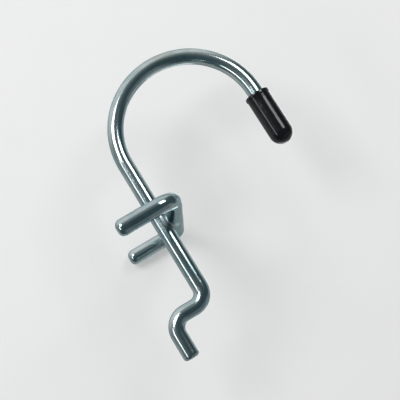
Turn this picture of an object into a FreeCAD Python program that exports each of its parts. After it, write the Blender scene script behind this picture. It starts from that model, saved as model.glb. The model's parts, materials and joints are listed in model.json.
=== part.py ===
import FreeCAD, Part
import math
import os

# Curved pegboard hook with a welded brace and a vinyl tip.
# The board's front face is the plane Y = 0 and the hook stands out along +Y.
# Z is up, Z = 0 is the axis of the upper hole, and X = 0 is the plane of the bent wire.
# All sizes are in millimetres.

os.makedirs("parts", exist_ok=True)

# Pegboard that the hook fits
hole_pitch = 25.4
board_thickness = 6.35

# Room for the board between the prong behind it and the shank in front of it
prong_play = 0.45
shank_standoff = 0.5

# Hook wire
hook_wire_dia = 4.8
board_bend_radius = 4.4
prong_height = 12.0
curl_radius = 22.0
curl_depth = 46.0
tip_length = 17.0
cut_end_bevel = 0.7

# Brace wire
brace_wire_dia = 4.8
brace_corner_radius = 5.6
leg_past_board = 3.4
leg_end_round = 1.8

# Welded crossing
weld_sink = 0.45
weld_collar_dia = 4.5
weld_collar_depth = 1.3
weld_collar_bevel = 0.4

# Vinyl cap
cap_wall = 1.2
cap_cover = 15.5
cap_end_wall = 1.5
cap_rim_lip = 0.2
cap_rim_length = 1.0

# Places that follow from the sizes above
hook_wire_radius = hook_wire_dia / 2
brace_wire_radius = brace_wire_dia / 2
shank_y = shank_standoff + hook_wire_radius
prong_y = -(board_thickness + prong_play + hook_wire_radius)
curl_centre_y = shank_y + curl_radius
tip_y = shank_y + 2 * curl_radius
tip_end_z = -curl_depth + tip_length
brace_z = -hole_pitch
brace_bar_y = shank_y + hook_wire_radius + brace_wire_radius - weld_sink
leg_end_y = -(board_thickness + leg_past_board)
weld_face_y = shank_y + hook_wire_radius - weld_sink / 2


def in_hook_plane(y, z):
    return FreeCAD.Vector(0, y, z)


def in_brace_plane(x, y):
    return FreeCAD.Vector(x, y, brace_z)


def run(start, end):
    return Part.LineSegment(start, end).toShape()


def bend(start, middle, end):
    return Part.Arc(start, middle, end).toShape()


def hook_plane_bend(centre_y, centre_z, radius, angles_deg):
    points = []
    for angle_deg in angles_deg:
        angle = math.radians(angle_deg)
        y = centre_y + radius * math.cos(angle)
        z = centre_z + radius * math.sin(angle)
        points.append(in_hook_plane(y, z))
    return bend(*points)


def sweep_wire(edges, start, direction, radius):
    # A round section carried along straight runs joined by tangent bends.
    section = Part.Wire([Part.makeCircle(radius, start, direction)])
    return Part.Wire(edges).makePipeShell([section], True, False)


def edges_at_plane(shape, axis, place):
    # Circular edges that lie in the plane axis = place.
    found = []
    for edge in shape.Edges:
        box = edge.BoundBox
        low = getattr(box, axis + "Min")
        high = getattr(box, axis + "Max")
        if abs(low - place) < 1e-4 and abs(high - place) < 1e-4:
            found.append(edge)
    return found


def hook_wire_path():
    prong_bend_y = prong_y + board_bend_radius
    shank_bend_y = shank_y - board_bend_radius
    r = board_bend_radius
    return [
        run(in_hook_plane(prong_y, prong_height), in_hook_plane(prong_y, r)),
        hook_plane_bend(prong_bend_y, r, r, (180, 225, 270)),
        run(in_hook_plane(prong_bend_y, 0), in_hook_plane(shank_bend_y, 0)),
        hook_plane_bend(shank_bend_y, -r, r, (90, 45, 0)),
        run(in_hook_plane(shank_y, -r), in_hook_plane(shank_y, -curl_depth)),
        hook_plane_bend(curl_centre_y, -curl_depth, curl_radius, (180, 270, 360)),
        run(in_hook_plane(tip_y, -curl_depth), in_hook_plane(tip_y, tip_end_z)),
    ]


def make_hook_wire():
    down = FreeCAD.Vector(0, 0, -1)
    start = in_hook_plane(prong_y, prong_height)
    wire = sweep_wire(hook_wire_path(), start, down, hook_wire_radius)
    wire = wire.makeChamfer(cut_end_bevel, edges_at_plane(wire, "Z", prong_height))
    return wire.makeChamfer(cut_end_bevel, edges_at_plane(wire, "Z", tip_end_z))


def brace_wire_path():
    # One leg, the bar across the shank and the other leg, with a bend at each corner.
    leg_x = hole_pitch
    corner_x = leg_x - brace_corner_radius
    corner_y = brace_bar_y - brace_corner_radius
    middle = brace_corner_radius * math.sqrt(0.5)
    left_bend = bend(
        in_brace_plane(-leg_x, corner_y),
        in_brace_plane(-corner_x - middle, corner_y + middle),
        in_brace_plane(-corner_x, brace_bar_y),
    )
    right_bend = bend(
        in_brace_plane(corner_x, brace_bar_y),
        in_brace_plane(corner_x + middle, corner_y + middle),
        in_brace_plane(leg_x, corner_y),
    )
    return [
        run(in_brace_plane(-leg_x, leg_end_y), in_brace_plane(-leg_x, corner_y)),
        left_bend,
        run(in_brace_plane(-corner_x, brace_bar_y), in_brace_plane(corner_x, brace_bar_y)),
        right_bend,
        run(in_brace_plane(leg_x, corner_y), in_brace_plane(leg_x, leg_end_y)),
    ]


def make_weld_collar():
    # Metal pressed out round the crossing, a low bevelled disc between the two wires.
    base = in_brace_plane(0, weld_face_y - weld_collar_depth / 2)
    forward = FreeCAD.Vector(0, 1, 0)
    disc = Part.makeCylinder(weld_collar_dia / 2, weld_collar_depth, base, forward)
    rims = edges_at_plane(disc, "Y", base.y) + edges_at_plane(disc, "Y", base.y + weld_collar_depth)
    return disc.makeChamfer(weld_collar_bevel, rims)


def make_brace_wire(hook_wire):
    # The crossing is pressed together, so the bar has a shallow saddle that the shank fills.
    forward = FreeCAD.Vector(0, 1, 0)
    start = in_brace_plane(-hole_pitch, leg_end_y)
    wire = sweep_wire(brace_wire_path(), start, forward, brace_wire_radius)
    wire = wire.makeFillet(leg_end_round, edges_at_plane(wire, "Y", leg_end_y))
    return wire.fuse(make_weld_collar()).cut(hook_wire).removeSplitter()


def make_tip_cap():
    # Half section in the X = 0 plane, turned about the tip's axis.
    bore = hook_wire_radius
    outside = bore + cap_wall
    rim = outside + cap_rim_lip
    rim_z = tip_end_z - cap_cover
    lip_z = rim_z + cap_rim_length
    top_z = tip_end_z + cap_end_wall
    dome_z = top_z - outside
    middle = outside * math.sqrt(0.5)

    def at(radius, z):
        return in_hook_plane(tip_y + radius, z)

    # The bore ends in the shape of the wire's bevelled end, and the dome is half a sphere.
    corners = [
        at(0, top_z),
        at(0, tip_end_z),
        at(bore - cut_end_bevel, tip_end_z),
        at(bore, tip_end_z - cut_end_bevel),
        at(bore, rim_z),
        at(rim, rim_z),
        at(rim, lip_z),
        at(outside, lip_z + cap_rim_lip),
        at(outside, dome_z),
    ]
    outline = [run(start, end) for start, end in zip(corners, corners[1:])]
    outline.append(bend(corners[-1], at(middle, dome_z + middle), corners[0]))
    section = Part.Face(Part.Wire(outline))
    return section.revolve(in_hook_plane(tip_y, 0), FreeCAD.Vector(0, 0, 1), 360)


def export(name, shape):
    shape.exportStep("parts/" + name + ".step")
    box = shape.BoundBox
    print(name, shape.isValid(), len(shape.Solids), "volume", round(shape.Volume, 2))
    print("  x", round(box.XMin, 2), round(box.XMax, 2), "y", round(box.YMin, 2), round(box.YMax, 2),
          "z", round(box.ZMin, 2), round(box.ZMax, 2))


def main():
    hook_wire = make_hook_wire()
    export("hook_wire", hook_wire)
    export("brace_wire", make_brace_wire(hook_wire))
    export("tip_cap", make_tip_cap())


main()
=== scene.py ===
import json
import math

import bmesh
import bpy
from bpy.props import FloatProperty, FloatVectorProperty, IntProperty, PointerProperty
from bpy.types import Operator, Panel, PropertyGroup
from mathutils import Matrix, Vector


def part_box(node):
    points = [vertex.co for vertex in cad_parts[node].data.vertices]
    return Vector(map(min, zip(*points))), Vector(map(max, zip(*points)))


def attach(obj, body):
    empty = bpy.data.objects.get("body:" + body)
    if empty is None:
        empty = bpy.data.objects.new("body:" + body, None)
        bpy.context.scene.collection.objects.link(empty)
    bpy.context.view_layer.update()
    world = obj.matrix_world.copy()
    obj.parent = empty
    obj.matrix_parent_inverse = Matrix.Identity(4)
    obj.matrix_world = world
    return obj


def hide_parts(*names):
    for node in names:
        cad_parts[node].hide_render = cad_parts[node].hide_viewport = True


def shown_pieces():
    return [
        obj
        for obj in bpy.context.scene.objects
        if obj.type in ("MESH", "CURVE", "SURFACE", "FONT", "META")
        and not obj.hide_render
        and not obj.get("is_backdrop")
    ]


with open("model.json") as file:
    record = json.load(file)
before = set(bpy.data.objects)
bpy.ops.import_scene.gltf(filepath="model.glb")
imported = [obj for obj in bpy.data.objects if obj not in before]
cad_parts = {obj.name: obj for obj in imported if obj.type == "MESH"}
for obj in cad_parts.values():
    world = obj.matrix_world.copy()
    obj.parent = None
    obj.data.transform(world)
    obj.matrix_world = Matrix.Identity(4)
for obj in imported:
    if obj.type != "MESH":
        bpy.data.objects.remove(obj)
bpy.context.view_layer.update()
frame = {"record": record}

bl_info = {
    "name": "Pegboard hook",
    "version": (1, 0, 0),
    "blender": (4, 5, 0),
    "location": "View3D > Sidebar > Pegboard hook",
    "description": "Bends, welds, plates and caps a wire hook for perforated board",
    "category": "Object",
}

# The record gives its radii in millimetres, and the scene is in metres.
MM = 0.001

# The frame's boxes give the wires and the cap their places.
# X = 0 is the plane of the bent wire, Y = 0 the board's face and Z = 0 the upper hole.
HOOK_LOW, HOOK_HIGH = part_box("hook_wire")
BRACE_LOW, BRACE_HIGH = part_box("brace_wire")
CAP_LOW, CAP_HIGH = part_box("tip_cap")
HOOK_WIRE_RADIUS = HOOK_HIGH.x
LEG_MOUNT = next(m for m in frame["record"]["mounts"] if m["name"] == "right_leg")
BRACE_WIRE_RADIUS = LEG_MOUNT["dims"]["r_mm"] * MM
BRACE_Z = LEG_MOUNT["pos_m"][2]
PRONG_Y = HOOK_LOW.y + HOOK_WIRE_RADIUS
TIP_Y = HOOK_HIGH.y - HOOK_WIRE_RADIUS
BAR_Y = BRACE_HIGH.y - BRACE_WIRE_RADIUS

OUT = Vector((0, 1, 0))
UP = Vector((0, 0, 1))
ACROSS = Vector((1, 0, 0))
QUARTER_TURN = math.pi / 2
HALF_TURN = math.pi
FULL_TURN = 2 * math.pi

# Corners closer than the merge distance become one, and an edge past the sharp angle stays sharp.
MERGE_DISTANCE = 1e-7
SHARP_ANGLE = 0.6

# Places of the colour sockets on a Mix node
MIX_FIRST_COLOUR = 6
MIX_SECOND_COLOUR = 7
MIX_RESULT_COLOUR = 2


class HookWireSizes(PropertyGroup):
    """Bends and ends of the hook wire."""

    curl_radius: FloatProperty(
        name="Curl radius",
        description="Radius of the curl, to the middle of the wire",
        default=0.022,
        unit="LENGTH",
    )
    board_bend_radius: FloatProperty(
        name="Board bend radius",
        description="Radius of the two bends at the board, to the middle of the wire",
        default=0.0044,
        unit="LENGTH",
    )
    tip_cover: FloatProperty(
        name="Tip cover",
        description="Thickness of the cap's closed end over the cut end of the tip",
        default=0.0015,
        unit="LENGTH",
    )
    end_bevel: FloatProperty(
        name="End bevel",
        description="Bevel round each cut end",
        default=0.0007,
        unit="LENGTH",
    )


class BraceSizes(PropertyGroup):
    """Bends, ends and weld of the brace wire."""

    corner_radius: FloatProperty(
        name="Corner radius",
        description="Radius of the bend between bar and leg, to the middle of the wire",
        default=0.0056,
        unit="LENGTH",
    )
    end_round: FloatProperty(
        name="Leg end round",
        description="Round on the end of each leg",
        default=0.0018,
        unit="LENGTH",
    )
    collar_radius: FloatProperty(
        name="Weld collar radius",
        description="Reach of the metal pressed out round the weld",
        default=0.00225,
        unit="LENGTH",
    )
    collar_depth: FloatProperty(
        name="Weld collar depth",
        description="Thickness of the metal pressed out round the weld",
        default=0.0013,
        unit="LENGTH",
    )
    collar_lip: FloatProperty(
        name="Weld collar lip",
        description="Share of the collar's half thickness that the round on its edge takes",
        default=0.75,
        subtype="FACTOR",
    )
    weld_sink: FloatProperty(
        name="Weld sink",
        description="Depth to which the two wires are pressed into each other",
        default=0.00045,
        unit="LENGTH",
    )


class CapSizes(PropertyGroup):
    """Walls and lip of the vinyl cap."""

    wall: FloatProperty(
        name="Wall",
        description="Thickness of the cap's side wall",
        default=0.0012,
        unit="LENGTH",
    )
    rim_length: FloatProperty(
        name="Rim length",
        description="Length of the thicker lip at the open end",
        default=0.0010,
        unit="LENGTH",
    )
    rim_round: FloatProperty(
        name="Rim round",
        description="Round on the edges of the lip",
        default=0.00018,
        unit="LENGTH",
    )


class HookFinish(PropertyGroup):
    """Colours and gloss of the plate and the vinyl."""

    zinc_bright: FloatVectorProperty(
        name="Bright zinc",
        description="Plate where it is brightest",
        default=(0.62, 0.69, 0.70),
        subtype="COLOR",
    )
    zinc_deep: FloatVectorProperty(
        name="Deep zinc",
        description="Plate where its blue film is thickest",
        default=(0.37, 0.49, 0.515),
        subtype="COLOR",
    )
    zinc_film: FloatVectorProperty(
        name="Zinc film",
        description="Faint straw tint of the passivated film",
        default=(0.62, 0.62, 0.52),
        subtype="COLOR",
    )
    film_share: FloatProperty(
        name="Film share",
        description="How far the straw tint covers the plate where it is thickest",
        default=0.55,
        subtype="FACTOR",
    )
    # This tint darkens the plate's reflection where it is seen edge-on, which paints shade on the rims
    # of the wires.
    rim_shade_tint: FloatVectorProperty(
        name="Zinc edge",
        description="Tint of the plate where it is seen edge-on, dimmed by its film",
        default=(0.40, 0.50, 0.51),
        subtype="COLOR",
    )
    zinc_roughness: FloatProperty(
        name="Zinc roughness",
        description="Roughness of the plate where it is smoothest",
        default=0.08,
        subtype="FACTOR",
    )
    weld_grey: FloatVectorProperty(
        name="Weld grey",
        description="Dull plate over the weld",
        default=(0.42, 0.46, 0.465),
        subtype="COLOR",
    )
    weld_roughness: FloatProperty(
        name="Weld roughness",
        description="Roughness of the plate over the weld where it is smoothest",
        default=0.22,
        subtype="FACTOR",
    )
    bloom_on_shank: FloatProperty(
        name="Bloom on the shank",
        description="Reach of the dull ring that the weld leaves on the shank",
        default=0.0046,
        unit="LENGTH",
    )
    bloom_on_bar: FloatProperty(
        name="Bloom on the bar",
        description="Reach of the dull ring that the weld leaves on the bar",
        default=0.0052,
        unit="LENGTH",
    )
    vinyl_black: FloatVectorProperty(
        name="Vinyl black",
        description="Colour of the cap",
        default=(0.006, 0.006, 0.007),
        subtype="COLOR",
    )
    vinyl_scuff: FloatVectorProperty(
        name="Vinyl scuff",
        description="Colour of the cap where it is rubbed",
        default=(0.032, 0.032, 0.034),
        subtype="COLOR",
    )
    vinyl_roughness: FloatProperty(
        name="Vinyl roughness",
        description="Roughness of the cap where it is smoothest",
        default=0.085,
        subtype="FACTOR",
    )


class HookStage(PropertyGroup):
    """Camera, lamps, pale surfaces and dark card."""

    tip_lean: FloatProperty(
        name="Tip lean",
        description="How far the tip points below level in the picture",
        default=math.radians(58.8),
        subtype="ANGLE",
    )
    off_axis: FloatProperty(
        name="Off axis",
        description="How far the camera stands below the line square to the hook",
        default=math.radians(12),
        subtype="ANGLE",
    )
    distance: FloatProperty(
        name="Distance",
        description="From the camera to the middle of the hook",
        default=0.30,
        unit="LENGTH",
    )
    view_height: FloatProperty(
        name="View height",
        description="Height of the picture at the hook",
        default=0.116,
        unit="LENGTH",
    )
    sheet_gap: FloatProperty(
        name="Sheet gap",
        description="From the outer side of the brace to the sheet behind it",
        default=0.0003,
        unit="LENGTH",
    )
    floor_drop: FloatProperty(
        name="Floor drop",
        description="From the upper hole down to the level floor",
        default=0.30,
        unit="LENGTH",
    )
    pale: FloatVectorProperty(
        name="Pale surface",
        description="Colour of the floor and of the sheet behind the hook",
        default=(0.83, 0.83, 0.825),
        subtype="COLOR",
    )
    surround: FloatVectorProperty(
        name="Pale surround",
        description="Tone of the room past the edges of the sheet and the floor",
        default=(0.815, 0.815, 0.812),
        subtype="COLOR",
    )
    # The card shows only in the metal's reflections, so its tone is a painted dark reflection.
    card_tone: FloatVectorProperty(
        name="Card tone",
        description="Tone of the dark card that the metal shows",
        default=(0.05, 0.08, 0.09),
        subtype="COLOR",
    )
    card_radius: FloatProperty(
        name="Card radius",
        description="From the middle of the hook to the dark card round it",
        default=0.90,
        unit="LENGTH",
    )
    lamp_distance: FloatProperty(
        name="Lamp distance",
        description="From the middle of the hook to each lamp",
        default=0.45,
        unit="LENGTH",
    )
    key_size: FloatProperty(
        name="Key size",
        description="Each side of the two square key lamps",
        default=0.18,
        unit="LENGTH",
    )
    strip_length: FloatProperty(
        name="Strip length",
        description="Long side of the strip lamps",
        default=0.30,
        unit="LENGTH",
    )
    strip_width: FloatProperty(
        name="Strip width",
        description="Short side of the strip lamps",
        default=0.05,
        unit="LENGTH",
    )


class HookSettings(PropertyGroup):
    """All that a user would change."""

    sides: IntProperty(
        name="Sides",
        description="Faces round each wire and round the cap",
        default=72,
    )
    hook_wire: PointerProperty(type=HookWireSizes)
    brace: PointerProperty(type=BraceSizes)
    cap: PointerProperty(type=CapSizes)
    finish: PointerProperty(type=HookFinish)
    stage: PointerProperty(type=HookStage)


# Shapes

class WireBender:
    """Feeds a round wire straight and bends it round dies, one ring of edges after another.

    Each corner keeps where it lay on the straight wire before it was bent, in the attribute
    drawn, how hard the dies pressed it, in worked, and whether it lies on a cut end, in cut.
    """

    def __init__(self, radius, start, heading, sides):
        self.bm = bmesh.new()
        self.drawn = self.bm.verts.layers.float_vector.new("drawn")
        self.worked = self.bm.verts.layers.float.new("worked")
        self.cut = self.bm.verts.layers.float.new("cut")
        self.at = Vector(start)
        self.heading = Vector(heading)
        self.fed = 0.0
        self.width = 1.0
        made = bmesh.ops.create_circle(self.bm, cap_ends=False, radius=radius, segments=sides)
        for vert in made["verts"]:
            vert[self.drawn] = vert.co
        self.ring = list(self.bm.edges)
        turn = self.heading.to_track_quat("Z", "X").to_matrix().to_4x4()
        bmesh.ops.transform(self.bm, matrix=Matrix.Translation(self.at) @ turn, verts=made["verts"])

    def about_here(self, turn):
        """Moves a turn or a scale from the origin to where the bender stands."""
        return Matrix.Translation(self.at) @ turn @ Matrix.Translation(-self.at)

    def carry(self, move, length, pressed=0.0):
        """Extrudes the ring by one move and notes where the new corners lay on the straight wire."""
        made = bmesh.ops.extrude_edge_only(self.bm, edges=self.ring)["geom"]
        verts = [g for g in made if isinstance(g, bmesh.types.BMVert)]
        self.fed += length
        for vert in verts:
            vert[self.drawn].z = self.fed
            vert[self.worked] = pressed
        bmesh.ops.transform(self.bm, matrix=move, verts=verts)
        self.ring = [g for g in made if isinstance(g, bmesh.types.BMEdge)]
        return verts

    def feed(self, length, rings):
        """Feeds the wire straight on."""
        step = self.heading * (length / rings)
        for _ in range(rings):
            self.carry(Matrix.Translation(step), length / rings)
            self.at = self.at + step

    def bend(self, radius, angle, axis, rings):
        """Bends the wire round a die whose axis is given, by the right-hand rule."""
        centre = self.at + axis.cross(self.heading) * radius
        turn = Matrix.Rotation(angle / rings, 4, axis)
        move = Matrix.Translation(centre) @ turn @ Matrix.Translation(-centre)
        for number in range(rings):
            pressed = math.sin(math.pi * (number + 0.5) / rings)
            self.carry(move, radius * angle / rings, pressed)
        self.at = centre + Matrix.Rotation(angle, 4, axis) @ (self.at - centre)
        self.heading = Matrix.Rotation(angle, 4, axis) @ self.heading

    def swell(self, width, length, cut=0.0):
        """Feeds the wire on while its width changes to the given share of the full one."""
        step = self.heading * length
        ratio = width / self.width
        scale = self.about_here(Matrix.Scale(ratio, 4))
        verts = self.carry(Matrix.Translation(step) @ scale, length)
        for vert in verts:
            vert[self.drawn] = vert[self.drawn] * Vector((ratio, ratio, 1))
            vert[self.cut] = cut
        self.at = self.at + step
        self.width = width

    def face_over(self):
        """Closes the ring with a face whose middle is a corner too."""
        face = bmesh.ops.contextual_create(self.bm, geom=self.ring)["faces"]
        middle = bmesh.ops.poke(self.bm, faces=face)["verts"]
        for vert in middle:
            vert[self.drawn] = (0, 0, self.fed)
            vert[self.cut] = 1.0

    def end(self, shape):
        """Narrows the wire by the steps in shape, each a width and a length, and closes it."""
        for width, length in shape[:-1]:
            self.swell(width, length)
        self.swell(*shape[-1], cut=1.0)
        self.face_over()

    def begin(self, shape):
        """Makes the first end as end does the last one, from the face back to the full width."""
        self.face_over()
        widths = [1.0] + [width for width, _ in shape]
        narrow = self.about_here(Matrix.Scale(widths[-1], 4))
        bmesh.ops.transform(self.bm, matrix=narrow, verts=list(self.bm.verts))
        for vert in self.bm.verts:
            vert[self.drawn] = vert[self.drawn] * widths[-1]
            vert[self.cut] = 1.0
        self.width = widths[-1]
        for width, (_, length) in zip(reversed(widths[:-1]), reversed(shape)):
            self.swell(width, length)


def bevelled_end(radius, bevel, softened=0.12, inner_ring=0.5):
    """A cut end with a bevel whose two edges are a little rounded.

    Each rounded edge takes the softened share of the bevel. The one at the wall narrows the
    wire only a little, and the one at the cut face runs on over it to a last ring.
    """
    soft = bevel * softened
    narrowed = 0.3 * soft
    run_over = 0.6 * soft
    return [
        (1 - narrowed / radius, soft),
        (1 - (bevel - soft) / radius, bevel - 2 * soft),
        (1 - (bevel + run_over) / radius, soft),
        (inner_ring, 0.0),
    ]


def rounded_end(radius, end_round, steps=8):
    """An end rounded over by a tumbled arc down to a small flat."""
    shape = []
    for number in range(1, steps + 1):
        angle = QUARTER_TURN * number / steps
        before = QUARTER_TURN * (number - 1) / steps
        width = 1 - end_round * (1 - math.cos(angle)) / radius
        shape.append((width, end_round * (math.sin(angle) - math.sin(before))))
    return shape


def finish_mesh(bm, name):
    """Turns a bmesh into an object at the origin, with smooth faces and its corners kept sharp."""
    bmesh.ops.remove_doubles(bm, verts=bm.verts, dist=MERGE_DISTANCE)
    bmesh.ops.recalc_face_normals(bm, faces=bm.faces)
    for face in bm.faces:
        face.smooth = True
    for edge in bm.edges:
        edge.smooth = edge.calc_face_angle(0.0) < SHARP_ANGLE
    return new_object(bm, name)


def new_object(bm, name):
    """Puts a bmesh into the scene and frees it."""
    mesh = bpy.data.meshes.new(name)
    bm.to_mesh(mesh)
    bm.free()
    thing = bpy.data.objects.new(name, mesh)
    bpy.context.scene.collection.objects.link(thing)
    return thing


def turned_shape(outline, centre, axis, start, steps):
    """Spins a half outline, given as points of radius and place along the axis, into a closed solid."""
    bm = bmesh.new()
    verts = [bm.verts.new(centre + start * radius + axis * place) for radius, place in outline]
    edges = [bm.edges.new(pair) for pair in zip(verts, verts[1:])]
    bmesh.ops.spin(
        bm,
        geom=verts + edges,
        cent=centre,
        axis=axis,
        angle=FULL_TURN,
        steps=steps,
        use_merge=True,
    )
    return bm


def arc_points(centre, radius, start, end, steps):
    """Points of an arc in an outline, its first point left out."""
    points = []
    for number in range(1, steps + 1):
        angle = start + (end - start) * number / steps
        points.append((centre[0] + radius * math.cos(angle), centre[1] + radius * math.sin(angle)))
    return points


# Nodes

def new_node(tree, kind, name="", **settings):
    """A node of a tree, labelled with what it is for."""
    node = tree.nodes.new(kind)
    node.label = name
    for key, value in settings.items():
        setattr(node, key, value)
    return node


def set_inputs(node, **values):
    """Writes plain values into a node's inputs, whose names have spaces where the keys have bars."""
    for key, value in values.items():
        node.inputs[key.replace("_", " ")].default_value = value


def plug_in(tree, value, socket):
    """Links a value into an input, or writes it there if it is a plain one."""
    if isinstance(value, bpy.types.NodeSocket):
        tree.links.new(value, socket)
    else:
        socket.default_value = value


def noise(tree, vector, name, scale, detail, roughness=0.5):
    """Cloudy noise from none to one."""
    node = new_node(tree, "ShaderNodeTexNoise", name)
    set_inputs(node, Scale=scale, Detail=detail, Roughness=roughness)
    tree.links.new(vector, node.inputs["Vector"])
    return node.outputs["Fac"]


def spread(tree, value, low, high, to_low=0.0, to_high=1.0, name=""):
    """Maps low to high onto to_low to to_high, smoothly and clamped."""
    node = new_node(tree, "ShaderNodeMapRange", name, interpolation_type="SMOOTHSTEP")
    node.inputs["From Min"].default_value = low
    node.inputs["From Max"].default_value = high
    node.inputs["To Min"].default_value = to_low
    node.inputs["To Max"].default_value = to_high
    tree.links.new(value, node.inputs["Value"])
    return node.outputs["Result"]


def combine(tree, operation, *values):
    """A sum, product or the like of values, each of which may be a plain number."""
    node = new_node(tree, "ShaderNodeMath", operation=operation)
    for socket, value in zip(node.inputs, values):
        plug_in(tree, value, socket)
    return node.outputs["Value"]


def weighted_sum(tree, terms, base=0.0):
    """A base plus values that each count by their weight."""
    total = base
    for value, weight in terms:
        total = combine(tree, "MULTIPLY_ADD", value, weight, total)
    return total


def combine_vectors(tree, operation, first, second):
    """The node of a sum, product, distance or the like of two vectors, the second maybe a plain one."""
    node = new_node(tree, "ShaderNodeVectorMath", operation=operation)
    plug_in(tree, first, node.inputs[0])
    plug_in(tree, second, node.inputs[1])
    return node


def distance(tree, place, point):
    """How far a place lies from a point."""
    return combine_vectors(tree, "DISTANCE", place, point).outputs["Value"]


def along(tree, vector, way):
    """How far a vector reaches along a way."""
    return combine_vectors(tree, "DOT_PRODUCT", vector, way).outputs["Value"]


def mix_colours(tree, mask, first, second):
    """Mixes two colours by a mask, each colour a plain one or a socket."""
    node = new_node(tree, "ShaderNodeMix", data_type="RGBA")
    tree.links.new(mask, node.inputs["Factor"])
    for number, colour in ((MIX_FIRST_COLOUR, first), (MIX_SECOND_COLOUR, second)):
        if not isinstance(colour, bpy.types.NodeSocket):
            colour = (*colour, 1.0)
        plug_in(tree, colour, node.inputs[number])
    return node.outputs[MIX_RESULT_COLOUR]


def mix_shaders(tree, mask, first, second, name=""):
    """Shows the second of two shaders by a mask or a plain share, and the first one elsewhere."""
    node = new_node(tree, "ShaderNodeMixShader", name)
    plug_in(tree, mask, node.inputs["Fac"])
    tree.links.new(first, node.inputs[1])
    tree.links.new(second, node.inputs[2])
    return node.outputs["Shader"]


def new_group(name, inputs, outputs):
    """A shader node group whose sockets are given as name and kind, its inputs with a value too."""
    group = bpy.data.node_groups.new(name, "ShaderNodeTree")
    for socket_name, kind, value in inputs:
        socket = group.interface.new_socket(socket_name, in_out="INPUT", socket_type=kind)
        if value is not None:
            socket.default_value = value
    for socket_name, kind in outputs:
        group.interface.new_socket(socket_name, in_out="OUTPUT", socket_type=kind)
    return group, new_node(group, "NodeGroupInput"), new_node(group, "NodeGroupOutput")


def place_group(tree, name, build):
    """Places a shared group in a material, built the first time that it is asked for."""
    node = new_node(tree, "ShaderNodeGroup", name)
    node.node_tree = bpy.data.node_groups.get(name) or build(name)
    return node


def add_relief(tree, shader, height, depth):
    """Raises a surface by a height, where a height of one stands for the depth."""
    bump = new_node(tree, "ShaderNodeBump")
    set_inputs(bump, Strength=1.0, Distance=depth)
    tree.links.new(height, bump.inputs["Height"])
    tree.links.new(bump.outputs["Normal"], shader.inputs["Normal"])


# Materials

def drawn_plate_group(name):
    """Zinc plate over drawn wire, with clouds, draw lines, pits and die marks in the bends."""
    group, source, result = new_group(
        name,
        [
            ("Drawn", "NodeSocketVector", None),
            ("Worked", "NodeSocketFloat", 0.0),
            ("Cut", "NodeSocketFloat", 0.0),
            ("Seed", "NodeSocketVector", None),
        ],
        [
            ("Cloud", "NodeSocketFloat"),
            ("Film", "NodeSocketFloat"),
            ("Dullness", "NodeSocketFloat"),
            ("Height", "NodeSocketFloat"),
        ],
    )
    moved = combine_vectors(group, "ADD", source.outputs["Drawn"], source.outputs["Seed"])
    place = moved.outputs["Vector"]

    def pattern(label, factors, scale, detail, roughness=0.5):
        """Noise on the straight wire, drawn out where a factor along X, Y or Z is under one."""
        drawn_out = combine_vectors(group, "MULTIPLY", place, factors).outputs["Vector"]
        return noise(group, drawn_out, label, scale, detail, roughness)

    cloud = pattern("plating clouds", (1, 1, 0.6), scale=190, detail=4, roughness=0.6)
    film = pattern("passive film", (1, 1, 0.35), scale=95, detail=3, roughness=0.55)
    lines = pattern("draw lines", (1, 1, 0.015), scale=1300, detail=3, roughness=0.6)
    fine = pattern("fine draw lines", (1, 1, 0.05), scale=7000, detail=2)
    sway = pattern("slight waves", (1, 1, 0.5), scale=260, detail=2)
    dies = pattern("die marks", (0.25, 0.25, 1), scale=2300, detail=3, roughness=0.65)
    shear = pattern("shear lines of the cut", (0.12, 1, 1), scale=3400, detail=3, roughness=0.65)
    specks = noise(group, place, "pits", scale=1500, detail=2)

    pits = spread(group, specks, 0.66, 0.74)
    cut = spread(group, source.outputs["Cut"], 0.3, 0.9)
    marks = combine(group, "MULTIPLY", dies, source.outputs["Worked"])
    sheared = combine(group, "MULTIPLY", shear, cut)
    dull_clouds = spread(group, cloud, 0.38, 0.68)

    # How far each pattern raises the plate and dulls it
    raised = ((lines, 0.40), (sheared, 0.70), (fine, 0.05), (marks, 0.20), (sway, 1.0), (pits, -0.06))
    dulled = ((dull_clouds, 0.45), (lines, 0.35), (marks, 0.45), (pits, 0.5), (cut, 0.8))

    group.links.new(spread(group, cloud, 0.34, 0.66), result.inputs["Cloud"])
    group.links.new(spread(group, film, 0.52, 0.72), result.inputs["Film"])
    group.links.new(weighted_sum(group, dulled), result.inputs["Dullness"])
    group.links.new(weighted_sum(group, raised), result.inputs["Height"])
    return group


def weld_bloom_group(name):
    """Mask of the dull ring that the weld leaves in the plate round a point of the object."""
    group, source, result = new_group(
        name,
        [
            ("Place", "NodeSocketVector", None),
            ("Weld", "NodeSocketVector", None),
            ("Reach", "NodeSocketFloat", 0.005),
        ],
        [("Bloom", "NodeSocketFloat")],
    )
    away = distance(group, source.outputs["Place"], source.outputs["Weld"])
    share = combine(group, "DIVIDE", away, source.outputs["Reach"])
    ragged = noise(group, source.outputs["Place"], "ragged edge", scale=900, detail=3, roughness=0.6)
    share = weighted_sum(group, [(ragged, 0.5)], base=share)
    group.links.new(spread(group, share, 0.72, 1.3, 1.0, 0.0), result.inputs["Bloom"])
    return group


def principled_material(name):
    """A new material, its nodes and its shader."""
    material = bpy.data.materials.new(name)
    material.use_nodes = True
    return material, material.node_tree, material.node_tree.nodes["Principled BSDF"]


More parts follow.
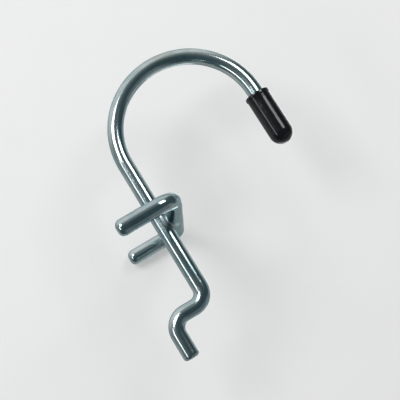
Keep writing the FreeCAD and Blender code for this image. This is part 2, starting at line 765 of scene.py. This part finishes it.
def zinc_material(name, finish, weld_at, bloom_reach, seed):
    """Bright zinc over drawn steel wire, dull round the weld."""
    material, tree, shader = principled_material(name)
    plate = place_group(tree, "Drawn plate", drawn_plate_group)
    set_inputs(plate, Seed=seed)
    for attribute, output, meaning in (
        ("drawn", "Vector", "place on the straight wire"),
        ("worked", "Fac", "pressed by the dies"),
        ("cut", "Fac", "on a cut end"),
    ):
        node = new_node(tree, "ShaderNodeAttribute", meaning, attribute_name=attribute)
        tree.links.new(node.outputs[output], plate.inputs[attribute.capitalize()])

    place = new_node(tree, "ShaderNodeTexCoord").outputs["Object"]
    bloom = place_group(tree, "Weld bloom", weld_bloom_group)
    set_inputs(bloom, Weld=weld_at, Reach=bloom_reach)
    tree.links.new(place, bloom.inputs["Place"])

    colour = mix_colours(tree, plate.outputs["Cloud"], finish.zinc_bright, finish.zinc_deep)
    film = combine(tree, "MULTIPLY", plate.outputs["Film"], finish.film_share)
    colour = mix_colours(tree, film, colour, finish.zinc_film)
    colour = mix_colours(tree, bloom.outputs["Bloom"], colour, finish.weld_grey)
    tree.links.new(colour, shader.inputs["Base Color"])

    dulled = ((plate.outputs["Dullness"], 0.16), (bloom.outputs["Bloom"], 0.22))
    tree.links.new(weighted_sum(tree, dulled, base=finish.zinc_roughness), shader.inputs["Roughness"])
    add_relief(tree, shader, plate.outputs["Height"], depth=0.00005)
    # The specular tint paints shade on the rims of the wire, where the plate is seen edge-on.
    set_inputs(shader, Metallic=1.0, Specular_Tint=(*finish.rim_shade_tint, 1.0))
    return material


def weld_material(finish):
    """Dull, slightly beaded plate on the metal pressed out of the weld."""
    material, tree, shader = principled_material("weld plate")
    place = new_node(tree, "ShaderNodeTexCoord").outputs["Object"]
    clouds = noise(tree, place, "weld clouds", scale=700, detail=4, roughness=0.6)
    beads = noise(tree, place, "beads", scale=2400, detail=3, roughness=0.6)
    colour = mix_colours(tree, spread(tree, clouds, 0.35, 0.65), finish.weld_grey, finish.zinc_deep)
    tree.links.new(colour, shader.inputs["Base Color"])
    rough = weighted_sum(tree, [(beads, 0.3)], base=finish.weld_roughness)
    tree.links.new(rough, shader.inputs["Roughness"])
    add_relief(tree, shader, beads, depth=0.00008)
    # The specular tint paints shade on the rims of the weld collar, where it is seen edge-on.
    set_inputs(shader, Metallic=1.0, Specular_Tint=(*finish.rim_shade_tint, 1.0))
    return material


def vinyl_material(finish):
    """Glossy black vinyl with a soft ripple, finger smears and a few rubbed spots."""
    material, tree, shader = principled_material("black vinyl")
    place = new_node(tree, "ShaderNodeTexCoord").outputs["Object"]
    drawn_out = combine_vectors(tree, "MULTIPLY", place, (1, 1, 0.45)).outputs["Vector"]
    smear = noise(tree, drawn_out, "smears", scale=420, detail=4, roughness=0.62)
    spots = noise(tree, place, "rubbed spots", scale=900, detail=5, roughness=0.7)
    ripple = noise(tree, place, "ripple", scale=240, detail=2)
    grain = noise(tree, place, "skin", scale=3800, detail=2)
    rubbed = spread(tree, spots, 0.58, 0.75)

    colour = mix_colours(tree, rubbed, finish.vinyl_black, finish.vinyl_scuff)
    tree.links.new(colour, shader.inputs["Base Color"])
    dulled = ((spread(tree, smear, 0.4, 0.7), 0.10), (rubbed, 0.12))
    tree.links.new(weighted_sum(tree, dulled, base=finish.vinyl_roughness), shader.inputs["Roughness"])
    raised = ((ripple, 1.4), (grain, 0.05))
    add_relief(tree, shader, weighted_sum(tree, raised), depth=0.00005)
    return material


# Stage materials

def emptied_tree(owner):
    """The nodes of a new material or world, with none left in them."""
    owner.use_nodes = True
    owner.node_tree.nodes.clear()
    return owner.node_tree


def show(tree, shader, kind="ShaderNodeOutputMaterial"):
    """Ends a tree in the shader that is seen."""
    tree.links.new(shader, new_node(tree, kind).inputs["Surface"])


def glow(tree, colour):
    """Light of one tone, a plain colour or a socket."""
    node = new_node(tree, "ShaderNodeEmission")
    plug_in(tree, colour, node.inputs["Color"])
    return node.outputs["Emission"]


def seen_ray(tree, path, mirrored=1.0):
    """One for rays from the camera and through glass, and the mirrored share for rays from metal."""
    direct = combine(tree, "MAXIMUM", path.outputs["Is Camera Ray"], path.outputs["Is Transmission Ray"])
    gloss = combine(tree, "MULTIPLY", path.outputs["Is Glossy Ray"], mirrored)
    return combine(tree, "MAXIMUM", direct, gloss)


def pale_surface_material(name, colour, middle, solid, gone, evenness, mirrored):
    """A plain pale surface that fades into the pale surround and lets every lamp shine through.

    It is seen from its front, whole as far as solid from its middle and not at all past gone.
    Its evenness is the share of its tone that is the same in light and shadow, and mirrored
    says how fully the metal shows it.
    """
    material = bpy.data.materials.new(name)
    tree = emptied_tree(material)
    place = new_node(tree, "ShaderNodeTexCoord").outputs["Object"]
    grain = noise(tree, place, "grain", scale=60, detail=3)
    darker = [channel * 0.97 for channel in colour]
    tone = mix_colours(tree, grain, colour, darker)
    paper = new_node(tree, "ShaderNodeBsdfDiffuse")
    tree.links.new(tone, paper.inputs["Color"])
    even = mix_shaders(tree, evenness, paper.outputs["BSDF"], glow(tree, tone), "evens out the light")

    near = spread(tree, distance(tree, place, middle), solid, gone, 1.0, 0.0, "fades with distance")
    path = new_node(tree, "ShaderNodeLightPath")
    side = new_node(tree, "ShaderNodeNewGeometry")
    front = combine(tree, "SUBTRACT", 1.0, side.outputs["Backfacing"])
    shown = combine(tree, "MULTIPLY", seen_ray(tree, path, mirrored), front)
    shown = combine(tree, "MULTIPLY", shown, near)
    clear = new_node(tree, "ShaderNodeBsdfTransparent")
    show(tree, mix_shaders(tree, shown, clear.outputs["BSDF"], even))
    return material


def studio_world(surround):
    """A pale surround that the camera and the metal see, and soft light for the rest."""
    world = bpy.data.worlds.new("studio")
    tree = emptied_tree(world)
    path = new_node(tree, "ShaderNodeLightPath")
    room = new_node(tree, "ShaderNodeBackground", "pale surround")
    set_inputs(room, Color=(*surround, 1), Strength=1.0)
    ambient = new_node(tree, "ShaderNodeBackground", "soft light")
    set_inputs(ambient, Color=(0.97, 0.985, 1.0, 1), Strength=0.5)
    seen = seen_ray(tree, path)
    light = mix_shaders(tree, seen, ambient.outputs["Background"], room.outputs["Background"])
    show(tree, light, "ShaderNodeOutputWorld")
    return world


def dark_card_material(tone, middle, pale_side, rear_side):
    """A dark card seen only in the metal's gloss, which paints dark reflections; through its soft
    openings the metal shows the pale surround.
    """
    material = bpy.data.materials.new("dark card")
    tree = emptied_tree(material)
    place = new_node(tree, "ShaderNodeTexCoord").outputs["Object"]
    away = combine_vectors(tree, "SUBTRACT", place, middle)
    unit = new_node(tree, "ShaderNodeVectorMath", operation="NORMALIZE")
    tree.links.new(away.outputs["Vector"], unit.inputs[0])
    way = unit.outputs["Vector"]
    towards_pale = along(tree, way, pale_side)
    side = spread(tree, towards_pale, -0.10, 0.80, 0.0, 0.70, "open at the pale side")
    slit = spread(tree, towards_pale, -0.92, -0.75, 0.32, 0.0, "slit across from it")
    broad = noise(tree, way, "broad patches", scale=1.6, detail=1, roughness=0.4)
    patches = spread(tree, broad, 0.40, 0.62, 0.45, 1.0)
    gaps = combine(tree, "MULTIPLY", combine(tree, "ADD", side, slit), patches)
    rear = spread(tree, along(tree, way, rear_side), 0.60, 0.95, 0.0, 0.55, "open behind the hook")
    clear = new_node(tree, "ShaderNodeBsdfTransparent")
    card = glow(tree, (*tone, 1))
    show(tree, mix_shaders(tree, combine(tree, "MAXIMUM", gaps, rear), card, clear.outputs["BSDF"]))
    return material


# Operators

def weld_point(brace):
    """Middle of the face where the bar is pressed into the shank."""
    face_y = BAR_Y - BRACE_WIRE_RADIUS + brace.weld_sink / 2
    return Vector((0, face_y, BRACE_Z))


def add_to_hook(piece, material, slot, *nodes):
    """Gives a piece its finish and lets it ride with the hook in place of its nodes."""
    piece.data.materials.append(material)
    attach(piece, "root")
    if nodes:
        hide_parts(*nodes)


class PEGHOOK_OT_bend_hook_wire(Operator):
    """Feeds and bends the hook wire: prong, run through the board, shank, curl and tip"""

    bl_idname = "peghook.bend_hook_wire"
    bl_label = "Bend hook wire"

    def execute(self, context):
        settings = context.scene.peghook
        sizes = settings.hook_wire
        finish = settings.finish
        bend_radius = sizes.board_bend_radius
        shank_y = TIP_Y - 2 * sizes.curl_radius
        curl_z = HOOK_LOW.z + HOOK_WIRE_RADIUS + sizes.curl_radius
        tip_end_z = CAP_HIGH.z - sizes.tip_cover
        cut = bevelled_end(HOOK_WIRE_RADIUS, sizes.end_bevel)

        # A bend's rings lie closer than those of the run before it, so that its gloss shows no facet.
        bender = WireBender(HOOK_WIRE_RADIUS, (0, PRONG_Y, HOOK_HIGH.z), -UP, settings.sides)
        bender.begin(cut)
        bender.feed(bender.at.z - bend_radius, rings=12)
        bender.bend(bend_radius, QUARTER_TURN, ACROSS, rings=20)
        bender.feed(shank_y - bend_radius - bender.at.y, rings=6)
        bender.bend(bend_radius, QUARTER_TURN, -ACROSS, rings=20)
        bender.feed(bender.at.z - curl_z, rings=48)
        bender.bend(sizes.curl_radius, HALF_TURN, ACROSS, rings=120)
        bender.feed(tip_end_z - sizes.end_bevel - curl_z, rings=18)
        bender.end(cut)

        piece = finish_mesh(bender.bm, "bent_hook_wire")
        weld_at = weld_point(settings.brace)
        zinc = zinc_material("zinc hook wire", finish, weld_at, finish.bloom_on_shank, seed=(0, 0, 0))
        add_to_hook(piece, zinc, "zinc", "hook_wire")
        return {"FINISHED"}


class PEGHOOK_OT_bend_brace_wire(Operator):
    """Feeds and bends the brace: a leg, the bar across the shank and the other leg"""

    bl_idname = "peghook.bend_brace_wire"
    bl_label = "Bend brace wire"

    def execute(self, context):
        settings = context.scene.peghook
        sizes = settings.brace
        finish = settings.finish
        leg_x = BRACE_HIGH.x - BRACE_WIRE_RADIUS
        end = rounded_end(BRACE_WIRE_RADIUS, sizes.end_round)

        bender = WireBender(BRACE_WIRE_RADIUS, (-leg_x, BRACE_LOW.y, BRACE_Z), OUT, settings.sides)
        bender.begin(end)
        leg = BAR_Y - sizes.corner_radius - bender.at.y
        bender.feed(leg, rings=16)
        bender.bend(sizes.corner_radius, QUARTER_TURN, -UP, rings=22)
        bender.feed(2 * (leg_x - sizes.corner_radius), rings=44)
        bender.bend(sizes.corner_radius, QUARTER_TURN, -UP, rings=22)
        bender.feed(leg, rings=16)
        bender.end(end)

        piece = finish_mesh(bender.bm, "bent_brace_wire")
        weld_at = weld_point(sizes)
        # The brace is cut from another stretch of wire, so its plate has other clouds and lines.
        seed = (0.31, 0.17, 0.05)
        zinc = zinc_material("zinc brace wire", finish, weld_at, finish.bloom_on_bar, seed)
        add_to_hook(piece, zinc, "zinc", "brace_wire")
        return {"FINISHED"}


class PEGHOOK_OT_press_weld(Operator):
    """Makes the collar of metal pressed out where the bar is welded to the shank"""

    bl_idname = "peghook.press_weld"
    bl_label = "Press weld"

    def execute(self, context):
        settings = context.scene.peghook
        sizes = settings.brace
        half = sizes.collar_depth / 2
        lip = half * sizes.collar_lip
        flat = sizes.collar_radius - lip
        outline = [(0, -half), (flat, -half)]
        outline += arc_points((flat, -half + lip), lip, -QUARTER_TURN, 0, steps=6)
        outline += [(sizes.collar_radius, half - lip)]
        outline += arc_points((flat, half - lip), lip, 0, QUARTER_TURN, steps=6)
        outline += [(0, half)]
        bm = turned_shape(outline, weld_point(sizes), OUT, ACROSS, settings.sides)
        piece = finish_mesh(bm, "weld_collar")
        add_to_hook(piece, weld_material(settings.finish), "zinc")
        return {"FINISHED"}


class PEGHOOK_OT_mould_tip_cap(Operator):
    """Moulds the vinyl cap with its lip, side wall and domed end"""

    bl_idname = "peghook.mould_tip_cap"
    bl_label = "Mould tip cap"

    def execute(self, context):
        settings = context.scene.peghook
        sizes = settings.cap
        bore = HOOK_WIRE_RADIUS
        outside = bore + sizes.wall
        rim = CAP_HIGH.x
        rim_z = CAP_LOW.z
        dome_z = CAP_HIGH.z - outside
        seat_z = CAP_HIGH.z - settings.hook_wire.tip_cover
        bevel = settings.hook_wire.end_bevel
        lip_z = rim_z + sizes.rim_length
        soft = sizes.rim_round

        outline = [(0, seat_z), (bore - bevel, seat_z), (bore, seat_z - bevel), (bore, rim_z + soft)]
        outline += arc_points((bore + soft, rim_z + soft), soft, -HALF_TURN, -QUARTER_TURN, steps=4)
        outline += [(rim - soft, rim_z)]
        outline += arc_points((rim - soft, rim_z + soft), soft, -QUARTER_TURN, 0, steps=4)
        outline += [(rim, lip_z - soft)]
        outline += arc_points((rim - soft, lip_z - soft), soft, 0, QUARTER_TURN, steps=4)
        outline += arc_points((outside + soft, lip_z + soft), soft, -QUARTER_TURN, -HALF_TURN, steps=4)
        outline += [(outside, lip_z + (dome_z - lip_z) * share) for share in (0.25, 0.5, 0.75, 1.0)]
        outline += arc_points((0, dome_z), outside, 0, QUARTER_TURN, steps=24)
        bm = turned_shape(outline, Vector((0, TIP_Y, 0)), UP, ACROSS, settings.sides)
        piece = finish_mesh(bm, "vinyl_tip_cap")
        add_to_hook(piece, vinyl_material(settings.finish), "vinyl", "tip_cap")
        return {"FINISHED"}


class PEGHOOK_OT_set_stage(Operator):
    """Sets the pale sheet and floor, the dark card, the camera and the lamps"""

    bl_idname = "peghook.set_stage"
    bl_label = "Set stage"

    def execute(self, context):
        stage = context.scene.peghook.stage
        right = Vector((0, math.sin(stage.tip_lean), math.cos(stage.tip_lean)))
        up = Vector((0, math.cos(stage.tip_lean), -math.sin(stage.tip_lean)))
        middle = self.middle_of_picture(right, up)
        self.add_surfaces(stage, middle)
        self.add_card(stage, middle, right, up)
        self.add_camera(context, stage, middle, right, up)
        self.add_lamps(stage, middle, right, up)
        context.scene.world = studio_world(stage.surround)
        context.scene.view_settings.view_transform = "Standard"
        return {"FINISHED"}

    def middle_of_picture(self, right, up):
        """Middle of the hook as the picture frames it, in the plane of the bent wire."""
        corners = []
        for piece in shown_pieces():
            corners += [vert.co for vert in piece.data.vertices]
        level = [corner.dot(right) for corner in corners]
        height = [corner.dot(up) for corner in corners]
        return right * (min(level) + max(level)) / 2 + up * (min(height) + max(height)) / 2

    def add_surfaces(self, stage, middle):
        """Adds the sheet that the hook lies against and the level floor, both soft at their edges."""
        colour = tuple(stage.pale)
        sheet_at = Vector((BRACE_HIGH.x + stage.sheet_gap, middle.y, middle.z))
        floor_at = Vector((0, middle.y, -stage.floor_drop))
        upright = Matrix.Rotation(-QUARTER_TURN, 4, "Y")
        sheet_place = Matrix.Translation(sheet_at) @ upright
        sheet_reach = 0.19
        floor_reach = 0.42
        # The metal shows the sheet at part strength and the dark card behind it for the rest, which
        # paints a darker reflection of the sheet.
        sheet = pale_surface_material(
            "pale sheet",
            colour,
            sheet_at,
            solid=0.10,
            gone=sheet_reach,
            evenness=0.30,
            mirrored=0.4,
        )
        floor = pale_surface_material(
            "pale floor",
            colour,
            floor_at,
            solid=0.16,
            gone=floor_reach,
            evenness=0.80,
            mirrored=1.0,
        )
        self.add_surface("pale_sheet", sheet_place, sheet_reach, sheet)
        self.add_surface("pale_floor", Matrix.Translation(floor_at), floor_reach, floor)

    def add_surface(self, name, place, reach, material):
        """Adds a flat square that reaches as far as given from its middle."""
        bm = bmesh.new()
        bmesh.ops.create_grid(bm, x_segments=2, y_segments=2, size=reach, matrix=place)
        self.add_to_stage(bm, name, material)

    def add_card(self, stage, middle, right, up):
        """Stands a dark card round the hook that only the metal's gloss shows, which paints dark
        reflections on the metal and neither lights nor shades anything.
        """
        pale_side = (up * 0.7 - right).normalized()
        rear_side = (ACROSS + OUT * 0.5 - UP * 0.3).normalized()
        bm = bmesh.new()
        bmesh.ops.create_uvsphere(
            bm,
            u_segments=48,
            v_segments=24,
            radius=stage.card_radius,
            matrix=Matrix.Translation(middle),
        )
        material = dark_card_material(stage.card_tone, middle, pale_side, rear_side)
        card = self.add_to_stage(bm, "dark_card", material)
        card.visible_camera = False
        card.visible_diffuse = False
        card.visible_transmission = False
        card.visible_shadow = False

    def add_to_stage(self, bm, name, material):
        """Turns a bmesh into a thing that isn't part of the hook."""
        thing = new_object(bm, name)
        thing.data.materials.append(material)
        thing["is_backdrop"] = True
        return thing

    def add_camera(self, context, stage, middle, right, up):
        """Points the camera at the middle of the hook from a little below the line square to it."""
        back = -ACROSS * math.cos(stage.off_axis) - up * math.sin(stage.off_axis)
        camera_up = up * math.cos(stage.off_axis) - ACROSS * math.sin(stage.off_axis)
        data = bpy.data.cameras.new("camera")
        data.lens = data.sensor_width * stage.distance / stage.view_height
        data.clip_start = 0.01
        camera = bpy.data.objects.new("camera", data)
        turn = Matrix((right, camera_up, back)).transposed().to_4x4()
        camera.matrix_world = Matrix.Translation(middle + back * stage.distance) @ turn
        context.scene.collection.objects.link(camera)
        context.scene.camera = camera

    def add_lamps(self, stage, middle, right, up):
        """Adds three lamps on the camera's side and two strips behind that light the edges."""
        near = -ACROSS
        square = (stage.key_size, stage.key_size)
        tall = (stage.strip_width, stage.strip_length)
        wide = (stage.strip_length, stage.strip_width)
        # Each lamp's name, the way to it from the hook, its size and its power
        lamps = (
            ("key left", near + up * 0.30 - right * 0.75, square, 0.75),
            ("key right", near + up * 0.80 + right * 0.50, square, 0.55),
            ("low strip", near * 0.7 - up * 0.5 - right * 0.85, tall, 0.20),
            ("rear upright strip", ACROSS + OUT * 0.45 - UP * 0.28, tall, 0.28),
            ("rear level strip", ACROSS + UP * 0.55, wide, 0.28),
        )
        for name, way, size, watts in lamps:
            data = bpy.data.lights.new(name, "AREA")
            data.shape = "RECTANGLE"
            data.size, data.size_y = size
            data.energy = watts
            lamp = bpy.data.objects.new(name, data)
            lamp.location = middle + way.normalized() * stage.lamp_distance
            lamp.rotation_euler = way.to_track_quat("Z", "Y").to_euler()
            lamp.visible_camera = False
            bpy.context.scene.collection.objects.link(lamp)


class PEGHOOK_PT_hook(Panel):
    """Lists the hook's pieces and the stage"""

    bl_idname = "PEGHOOK_PT_hook"
    bl_label = "Pegboard hook"
    bl_space_type = "VIEW_3D"
    bl_region_type = "UI"
    bl_category = "Pegboard hook"

    def draw(self, context):
        settings = context.scene.peghook
        self.layout.prop(settings, "sides")
        for title, group, operators in (
            ("Hook wire", settings.hook_wire, (PEGHOOK_OT_bend_hook_wire,)),
            ("Brace", settings.brace, (PEGHOOK_OT_bend_brace_wire, PEGHOOK_OT_press_weld)),
            ("Cap", settings.cap, (PEGHOOK_OT_mould_tip_cap,)),
            ("Finish", settings.finish, ()),
            ("Stage", settings.stage, (PEGHOOK_OT_set_stage,)),
        ):
            box = self.layout.box()
            box.label(text=title)
            for key in group.__annotations__:
                box.prop(group, key)
            for operator in operators:
                box.operator(operator.bl_idname)


CLASSES = (
    HookWireSizes,
    BraceSizes,
    CapSizes,
    HookFinish,
    HookStage,
    HookSettings,
    PEGHOOK_OT_bend_hook_wire,
    PEGHOOK_OT_bend_brace_wire,
    PEGHOOK_OT_press_weld,
    PEGHOOK_OT_mould_tip_cap,
    PEGHOOK_OT_set_stage,
    PEGHOOK_PT_hook,
)


def register():
    for cls in CLASSES:
        bpy.utils.register_class(cls)
    bpy.types.Scene.peghook = PointerProperty(type=HookSettings)


def unregister():
    del bpy.types.Scene.peghook
    for cls in reversed(CLASSES):
        bpy.utils.unregister_class(cls)


def main():
    register()
    bpy.ops.peghook.bend_hook_wire()
    bpy.ops.peghook.bend_brace_wire()
    bpy.ops.peghook.press_weld()
    bpy.ops.peghook.mould_tip_cap()
    bpy.ops.peghook.set_stage()


if __name__ == "__main__":
    main()
